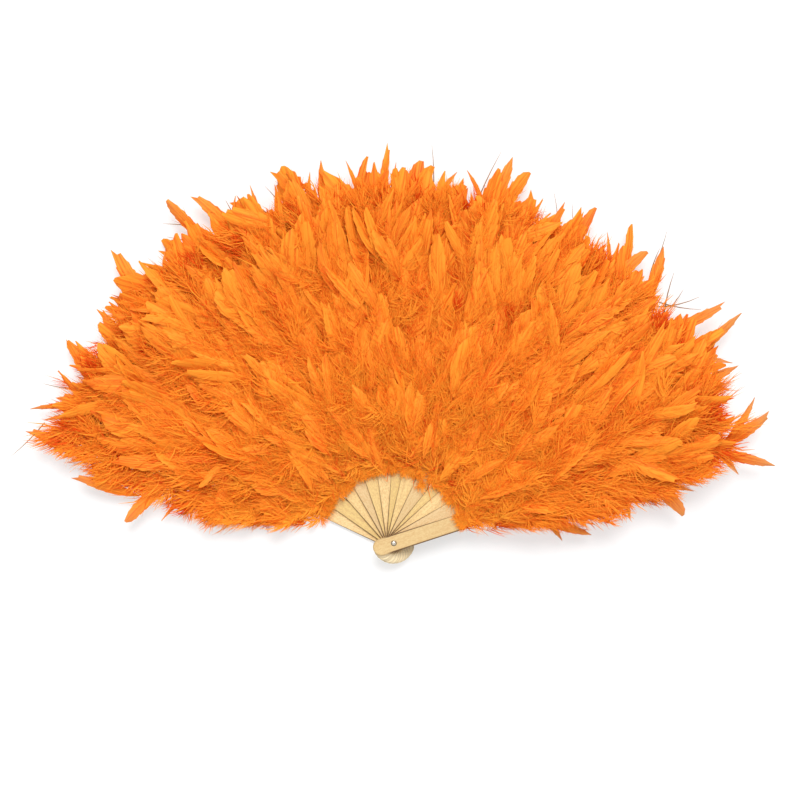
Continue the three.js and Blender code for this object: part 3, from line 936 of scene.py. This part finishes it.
def ramp(tree, value, low, high, to_low=0.0, to_high=1.0):
    """Maps a range of values to another one, kept inside it."""
    return add_node(tree, "MapRange", {
        "Value": value, "From Min": low, "From Max": high, "To Min": to_low, "To Max": to_high})


def split(tree, source):
    """The X, Y and Z of a vector."""
    node = tree.nodes.new("ShaderNodeSeparateXYZ")
    put(tree, node, {0: source})
    return node.outputs


def vector(tree, *parts):
    return add_node(tree, "CombineXYZ", dict(enumerate(parts)))


def attribute(tree, name):
    return add_node(tree, "Attribute", {}, "Fac", attribute_name=name)


def object_place(tree):
    return add_node(tree, "TexCoord", {}, "Object")


def bump(tree, height, strength, distance):
    return add_node(tree, "Bump", {"Height": height, "Strength": strength, "Distance": distance})


def add_group(tree, group, **values):
    named = {name.replace("_", " "): value for name, value in values.items()}
    return add_node(tree, "Group", named, node_tree=group)


def new_group(name, inputs):
    """A node group with a mask as its output: each input is a name, a socket type and a default."""
    group = bpy.data.node_groups.new(name, "ShaderNodeTree")
    for label, kind, default in inputs:
        socket = group.interface.new_socket(name=label, in_out="INPUT", socket_type=kind)
        if default is not None:
            socket.default_value = default
    group.interface.new_socket(name="Mask", in_out="OUTPUT", socket_type="NodeSocketFloat")
    return group, group.nodes.new("NodeGroupInput").outputs, group.nodes.new("NodeGroupOutput")


def streaks_group():
    """Fine lines that run along X of the given vector: fibres of bamboo or barbs of a web."""
    if "Fine streaks" in bpy.data.node_groups:
        return bpy.data.node_groups["Fine streaks"]
    group, enter, leave = new_group("Fine streaks", [
        ("Vector", "NodeSocketVector", None), ("Lines", "NodeSocketFloat", 600.0),
        ("Run", "NodeSocketFloat", 12.0)])
    x, y, z = split(group, enter["Vector"])
    lines = enter["Lines"]
    drawn = vector(group, times(group, x, enter["Run"]), times(group, y, lines), times(group, z, lines))
    noise = {"Vector": drawn, "Scale": 1.0, "Detail": 3.0, "Roughness": 0.6}
    put(group, leave, {"Mask": add_node(group, "TexNoise", noise, "Fac")})
    return group


def outline_group():
    """How near a point of a stave lies to its outline: 1 at the edge, 0 inside."""
    if "Stave outline" in bpy.data.node_groups:
        return bpy.data.node_groups["Stave outline"]
    group, enter, leave = new_group("Stave outline", [
        ("Vector", "NodeSocketVector", None), ("Half width", "NodeSocketFloat", 7 * MM),
        ("Tail centre", "NodeSocketFloat", 11.5 * MM), ("Rim", "NodeSocketFloat", 0.8 * MM)])
    x, y, _ = split(group, enter["Vector"])
    behind = calc(group, "MINIMUM", plus(group, x, enter["Tail centre"]), 0.0)
    squares = [calc(group, "POWER", size_of(group, side), 2.0) for side in (behind, y)]
    inside = minus(group, enter["Half width"], calc(group, "SQRT", plus(group, *squares)))
    near = ramp(group, inside, enter["Rim"], times(group, enter["Rim"], 0.45))
    fade = ramp(group, x, BROWNED_SHADE_START, BROWNED_SHADE_END, 0.25, 1.0)
    put(group, leave, {"Mask": times(group, near, fade)})
    return group


def new_material(name):
    material = bpy.data.materials.new(name)
    material.use_nodes = True
    return material, material.node_tree, material.node_tree.nodes["Principled BSDF"]


def feather_colour(tree, sizes, streaks, base, contrast):
    """Colour of a feather: dye and painted shade from its tone, barbs of their own tone, a rib, painted
    light on the barb tips, painted shade towards the root, and browner ends on some tips.
    """
    along, across, tone, strand, fade = [attribute(tree, label) for label in POINT_LAYERS]
    aside = size_of(tree, across)
    on_web = calc(tree, "GREATER_THAN", strand, 0.9)
    own = ramp(tree, strand, 0.0, BARB_STRANDS, -contrast, contrast)
    lines = ramp(tree, streaks, 0.32, 0.68, -0.75, 0.5)
    rib = calc(tree, "LESS_THAN", aside, 0.035)
    # Painted light: loose barbs are painted lighter towards their tips, away from the quill
    barb_tip_light = ramp(tree, aside, 0.3, 1.5, 0.0, 0.3)
    # Painted shade: each feather is painted darker towards its root, which lies under other feathers
    share = ramp(tree, along, 0.0, 1.0, base, base + 0.25)
    for part in (
        times(tree, tone, 0.17),
        plus(tree, own, times(tree, on_web, minus(tree, lines, own))),
        times(tree, rib, 0.1),
        times(tree, minus(tree, 1.0, on_web), barb_tip_light),
    ):
        share = plus(tree, share, part)
    share = ramp(tree, share, -0.1, 1.0)
    dyed_and_shaded = colour_mix(tree, share, tuple(sizes.deep_dye_and_shade), tuple(sizes.colour))
    # Browner towards the end of those feathers that carry it
    dyed_and_shaded = colour_mix(tree, times(tree, fade, ramp(tree, along, 0.55, 1.0)), dyed_and_shaded, BROWNER_TIP)
    quill = colour_mix(tree, ramp(tree, tone, -1.0, 1.0), DARK_QUILL, PALE_QUILL)
    return colour_mix(tree, calc(tree, "GREATER_THAN", strand, 1.5), dyed_and_shaded, quill)


def feather_material(name, sizes, barb_lines, base, contrast):
    """Dyed feather with painted light and shade in its colour, slanting barbs, and which lets some
    light through.
    """
    material, tree, shader = new_material(name)
    across = attribute(tree, "across")
    slant = minus(tree, attribute(tree, "along"), times(tree, size_of(tree, across), 0.2))
    place = vector(tree, slant, across, attribute(tree, "tone"))
    streaks = add_group(tree, streaks_group(), Vector=place, Lines=barb_lines, Run=1.5)
    colour = feather_colour(tree, sizes, streaks, base, contrast)
    put(tree, shader, {
        "Base Color": colour, "Roughness": 0.6, "Specular IOR Level": 0.15,
        "Sheen Weight": 0.12, "Sheen Roughness": 0.4, "Sheen Tint": (1.0, 0.62, 0.25, 1.0),
        "Normal": bump(tree, streaks, 0.6, 0.4 * MM)})
    thin = add_node(tree, "BsdfTranslucent", {"Color": colour})
    mix_shaders(tree, 0.16, shader.outputs[0], thin, "Material Output")
    return material


def stave_face(index, colours):
    """Planed face of one stave, whose tone and yellow differ from its neighbours'."""
    red, green, blue, _ = colours.guard if index == LAST else colours.face
    tone = 1.06 - 0.2 * math.modf(index * GOLDEN)[0]
    yellow = 0.8 + 0.4 * math.modf(index * 0.381 + 0.8)[0]
    return tone * red, tone * green, tone * yellow * blue, 1.0


def bamboo_material(index, colours):
    """Planed bamboo with fibres along the stave, browned edges that are also painted joint shade,
    painted light on the tails, and darker sawn sides.
    """
    material, tree, shader = new_material(f"Bamboo {index:02d}")
    width = colours.guard_width if index in (0, LAST) else colours.width
    place = add_node(tree, "Mapping", {
        "Vector": object_place(tree), "Rotation": (0, 0, -STAVE_ANGLES[index])})
    fine = add_group(tree, streaks_group(), Vector=place, Lines=1000.0, Run=520.0)
    broad = add_group(tree, streaks_group(), Vector=place, Lines=500.0, Run=30.0)
    fibres = plus(tree, times(tree, fine, 0.65), times(tree, broad, 0.35))
    dark = ramp(tree, fibres, 0.42, 0.62, 0.0, 0.8)
    wood = colour_mix(tree, dark, stave_face(index, colours), tuple(colours.grain))
    # Painted light: the tails of the rear guard and inner staves turn paler against the shade above
    # them
    tail_light_share = 0.0 if index == LAST else 0.75
    tail_light = ramp(tree, split(tree, place)[0], TAIL_LIGHT_START, TAIL_LIGHT_END, 0.0, tail_light_share)
    wood = colour_mix(tree, tail_light, wood, PAINTED_TAIL_LIGHT)
    # Browned line round the outline: a dark cut edge, and painted shade along the joints between staves
    outline = add_group(
        tree, outline_group(), Vector=place, Half_width=width / 2,
        Tail_centre=TAIL_REACH - width / 2, Rim=BROWNED_SHADE_RIM)
    wood = colour_mix(tree, times(tree, outline, 0.95), wood, tuple(colours.edge))
    normal = add_node(tree, "NewGeometry", {}, "Normal")
    sawn = calc(tree, "LESS_THAN", size_of(tree, split(tree, normal)[2]), 0.4)
    put(tree, shader, {
        "Base Color": colour_mix(tree, sawn, wood, tuple(colours.side)),
        "Roughness": ramp(tree, fibres, 0.3, 0.7, 0.42, 0.62), "Specular IOR Level": 0.35,
        "Normal": bump(tree, fibres, 0.4, 0.12 * MM)})
    return material


def metal_material():
    """Nickel plate with a fine mottle, darker with painted shade in the crease round the head."""
    material, tree, shader = new_material("Nickel plate")
    place = object_place(tree)
    mottle = add_node(tree, "TexNoise", {"Vector": place, "Scale": 900.0}, "Fac")
    plate = colour_mix(tree, mottle, DULL_PLATE, BRIGHT_PLATE)
    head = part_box("rivet")[1].z
    # Painted shade: all of the rivet lower than about 1 mm under its top takes the dark crease colour
    clear_of_crease_shade = ramp(tree, split(tree, place)[2], head - 1.02 * MM, head - 0.94 * MM)
    put(tree, shader, {
        "Base Color": colour_mix(tree, clear_of_crease_shade, PAINTED_CREASE_SHADE, plate), "Metallic": 1.0,
        "Roughness": ramp(tree, mottle, 0.0, 1.0, 0.14, 0.34)})
    return material


def thread_material(colours):
    """Dyed thread with a fine lay."""
    material, tree, shader = new_material("Dyed thread")
    lay = add_node(tree, "TexWave", {"Vector": object_place(tree), "Scale": 300.0}, "Fac")
    dyed_and_shaded = colour_mix(tree, lay, tuple(colours.deep_dye_and_shade), tuple(colours.colour))
    put(tree, shader, {"Base Color": dyed_and_shaded, "Roughness": 0.8})
    return material


def floor_material():
    """White floor that the camera sees half lit by itself, so that it keeps a soft shadow."""
    material, tree, shader = new_material("White floor")
    put(tree, shader, {"Base Color": FLOOR_WHITE, "Roughness": 0.9, "Specular IOR Level": 0.1})
    glow = add_node(tree, "Emission", {})
    rays = tree.nodes.new("ShaderNodeLightPath").outputs
    seen = calc(tree, "MAXIMUM", rays["Is Camera Ray"], rays["Is Glossy Ray"])
    seen = calc(tree, "MAXIMUM", seen, rays["Is Transmission Ray"])
    mix_shaders(tree, times(tree, seen, 0.5), shader.outputs[0], glow, "Material Output")
    return material


def dress(node_name, material):
    """Gives a CAD node its finish."""
    data = frame["nodes"][node_name].data
    data.materials.clear()
    data.materials.append(material)


def place_feathers(piece, material, index, replaced):
    """Finishes a set of feathers and lets it stand for its CAD solid."""
    piece.data.materials.append(material)
    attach(piece, BODIES[index])
    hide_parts(f"{replaced}_{index:02d}")


def model_turned(name, rings, sides):
    """A closed body turned about Z, drawn out ring by ring: each is a radius and a height."""
    deselect_all()
    radius, height = rings[0]
    bpy.ops.mesh.primitive_circle_add(
        vertices=sides, radius=radius, fill_type="NGON", location=(0, 0, 0))
    piece = bpy.context.object
    piece.name = name
    bpy.ops.object.mode_set(mode="EDIT")
    bpy.ops.mesh.select_all(action="SELECT")
    move(0, 0, height)
    for wide, high in rings[1:]:
        bpy.ops.mesh.extrude_region_move(TRANSFORM_OT_translate={"value": (0, 0, high - height)})
        stretch(wide / radius, wide / radius, 1)
        radius, height = wide, high
    bpy.ops.mesh.select_all(action="SELECT")
    bpy.ops.mesh.normals_make_consistent(inside=False)
    bpy.ops.object.mode_set(mode="OBJECT")
    return piece


def rivet_rings():
    """Radius and height of each ring of the rivet, from its foot to the top of its dome."""
    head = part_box("front_guard")[1].z + HEAD_GAP
    rings = [(radius * MM, height * MM) for radius, height in FOOT_RINGS]
    rings += [(radius * MM, head + height * MM) for radius, height in HEAD_RINGS]
    radius, base = rings[-1]
    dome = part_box("rivet")[1].z - base
    for step in range(1, DOME_STEPS + 1):
        lift = math.pi / 2 * step / (DOME_STEPS + 0.2)
        rings.append((radius * math.cos(lift), base + dome * math.sin(lift)))
    return rings


class FEATHERFAN_OT_bamboo(bpy.types.Operator):
    """Finish the staves and guards as planed bamboo"""

    bl_idname = "featherfan.bamboo"
    bl_label = "Bamboo staves and guards"

    def execute(self, context):
        for index, node in enumerate(STAVE_NODES):
            dress(node, bamboo_material(index, context.scene.feather_fan_bamboo))
        return {"FINISHED"}


class FEATHERFAN_OT_rivet(bpy.types.Operator):
    """Model the smooth rivet and finish it and its washer in nickel plate"""

    bl_idname = "featherfan.rivet"
    bl_label = "Rivet and washer"

    def execute(self, context):
        material = metal_material()
        dress("rear_washer", material)
        rivet = model_turned("smooth_rivet", rivet_rings(), 64)
        bpy.ops.object.shade_smooth_by_angle(angle=math.radians(40))
        rivet.data.materials.append(material)
        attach(rivet, "rear_leaf")
        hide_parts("rivet")
        return {"FINISHED"}


class FEATHERFAN_OT_thread(bpy.types.Operator):
    """Finish the stretches of link thread"""

    bl_idname = "featherfan.thread"
    bl_label = "Link thread"

    def execute(self, context):
        material = thread_material(context.scene.feather_fan_down)
        for index in range(1, LAST + 1):
            dress(f"link_thread_{index:02d}", material)
        return {"FINISHED"}


class FEATHERFAN_OT_down(bpy.types.Operator):
    """Scatter soft tufts over the inner part of every stave"""

    bl_idname = "featherfan.down"
    bl_label = "Down sets"

    def execute(self, context):
        sizes = context.scene.feather_fan_down
        seed = context.scene.feather_fan_plumes.seed
        rng = np.random.default_rng(seed)
        tufts = [model_tuft(rng, *shape) for shape in DOWN_TUFTS]
        material = feather_material("Down", sizes, 14.0, 0.90, 0.85)
        for index in range(LAST + 1):
            rng = np.random.default_rng(seed * 100 + 50 + index)
            soft = tuft_copies(
                rng, index, sizes.count, near=sizes.start + 3 * MM, far=sizes.end,
                length=sizes.length, width=sizes.width, chaos=0.6, waves=26 * MM)
            edge = edge_tuft_copies(rng, index, sizes)
            groups = trim_low(rng, share_out(rng, tufts, soft)) + share_out(rng, tufts, edge)
            piece = feather_mesh(f"soft_down_{index:02d}", groups)
            place_feathers(piece, material, index, "down")
        return {"FINISHED"}


class FEATHERFAN_OT_plumes(bpy.types.Operator):
    """Scatter webbed plumes and loose tufts over the outer part of every stave"""

    bl_idname = "featherfan.plumes"
    bl_label = "Plume sets"

    def execute(self, context):
        sizes = context.scene.feather_fan_plumes
        rng = np.random.default_rng(sizes.seed + 1)
        pointed, blunt, broad = [
            [model_plume(rng, *shape) for shape in shapes]
            for shapes in (POINTED_PLUMES, BLUNT_PLUMES, BROAD_PLUMES)]
        tufts = [model_tuft(rng, *shape) for shape in PLUME_TUFTS]
        quill = model_quill()
        material = feather_material("Plume webs", sizes, 8.0, 0.60, 0.62)
        for index in range(LAST + 1):
            rng = np.random.default_rng(sizes.seed * 100 + index)
            loose = tuft_copies(
                rng, index, sizes.tufts, near=sizes.inner - 20 * MM, far=sizes.rim - 34 * MM,
                length=sizes.tuft_length, width=sizes.tuft_width, chaos=0.33, waves=40 * MM)
            fringe = fringe_copies(rng, index, sizes)
            groups = share_out(rng, pointed + blunt + broad, plume_copies(rng, index, sizes))
            groups += share_out(rng, tufts, loose)
            groups += share_out(rng, tufts, fringe)
            groups = trim_low(rng, groups)
            groups += share_out(rng, pointed, long_tip_copies(rng, index, sizes, 0))
            groups += share_out(rng, blunt, long_tip_copies(rng, index, sizes, 1))
            groups += [(quill, quill_copies(rng, index, sizes))]
            piece = feather_mesh(f"plumes_{index:02d}", groups)
            place_feathers(piece, material, index, "plume")
        return {"FINISHED"}


class FEATHERFAN_OT_stage(bpy.types.Operator):
    """Set up the white floor, the soft light and the camera above the fan"""

    bl_idname = "featherfan.stage"
    bl_label = "Floor, light and camera"

    def execute(self, context):
        stage = context.scene.feather_fan_stage
        self.floor()
        self.sky(stage)
        self.sun(stage)
        self.camera(stage)
        context.scene.view_settings.view_transform = "Standard"
        return {"FINISHED"}

    def floor(self):
        deselect_all()
        bpy.ops.mesh.primitive_plane_add(size=12, location=(0, 0, 0))
        floor = bpy.context.object
        floor.name = "floor"
        floor.data.materials.append(floor_material())

    def sky(self, stage):
        world = bpy.data.worlds.new("Studio")
        bpy.context.scene.world = world
        world.use_nodes = True
        tree = world.node_tree
        light = tree.nodes["Background"]
        put(tree, light, {"Color": WHITE, "Strength": stage.sky})
        backdrop = add_node(tree, "Background", {"Color": WHITE})
        seen = add_node(tree, "LightPath", {}, "Is Camera Ray")
        mix_shaders(tree, seen, light.outputs[0], backdrop, "World Output")

    def sun(self, stage):
        lamp = bpy.data.lights.new("Key", "SUN")
        lamp.energy = stage.sun
        lamp.angle = math.radians(30)
        key = bpy.data.objects.new("Key", lamp)
        key.rotation_euler = (math.radians(-32), math.radians(5), 0)
        bpy.context.scene.collection.objects.link(key)

    def camera(self, stage):
        data = bpy.data.cameras.new("Camera")
        data.lens = stage.lens
        camera = bpy.data.objects.new("Camera", data)
        height = stage.field * stage.lens / data.sensor_width
        camera.location = (stage.centre[0], stage.centre[1], height + FIELD_LEVEL)
        bpy.context.scene.collection.objects.link(camera)
        bpy.context.scene.camera = camera


class FEATHERFAN_PT_parts(bpy.types.Panel):
    """Lists the steps that dress the fan"""

    bl_idname = "FEATHERFAN_PT_parts"
    bl_label = "Feather fan"
    bl_space_type = "VIEW_3D"
    bl_region_type = "UI"
    bl_category = "Feather fan"

    def draw(self, context):
        for step in STEPS:
            self.layout.operator(step.bl_idname)
        for name, settings in SETTINGS.items():
            box = self.layout.box()
            for label in settings.__annotations__:
                box.prop(getattr(context.scene, name), label)


STEPS = (
    FEATHERFAN_OT_bamboo,
    FEATHERFAN_OT_rivet,
    FEATHERFAN_OT_thread,
    FEATHERFAN_OT_down,
    FEATHERFAN_OT_plumes,
    FEATHERFAN_OT_stage,
)
SETTINGS = {
    "feather_fan_plumes": FeatherFanPlumes,
    "feather_fan_down": FeatherFanDown,
    "feather_fan_bamboo": FeatherFanBamboo,
    "feather_fan_stage": FeatherFanStage,
}


def register():
    for name, settings in SETTINGS.items():
        bpy.utils.register_class(settings)
        setattr(bpy.types.Scene, name, bpy.props.PointerProperty(type=settings))
    for step in STEPS:
        bpy.utils.register_class(step)
    bpy.utils.register_class(FEATHERFAN_PT_parts)


def unregister():
    bpy.utils.unregister_class(FEATHERFAN_PT_parts)
    for step in reversed(STEPS):
        bpy.utils.unregister_class(step)
    for name, settings in SETTINGS.items():
        delattr(bpy.types.Scene, name)
        bpy.utils.unregister_class(settings)


def main():
    register()
    bpy.ops.featherfan.bamboo()
    bpy.ops.featherfan.rivet()
    bpy.ops.featherfan.thread()
    bpy.ops.featherfan.down()
    bpy.ops.featherfan.plumes()
    bpy.ops.featherfan.stage()


if __name__ == "__main__":
    main()
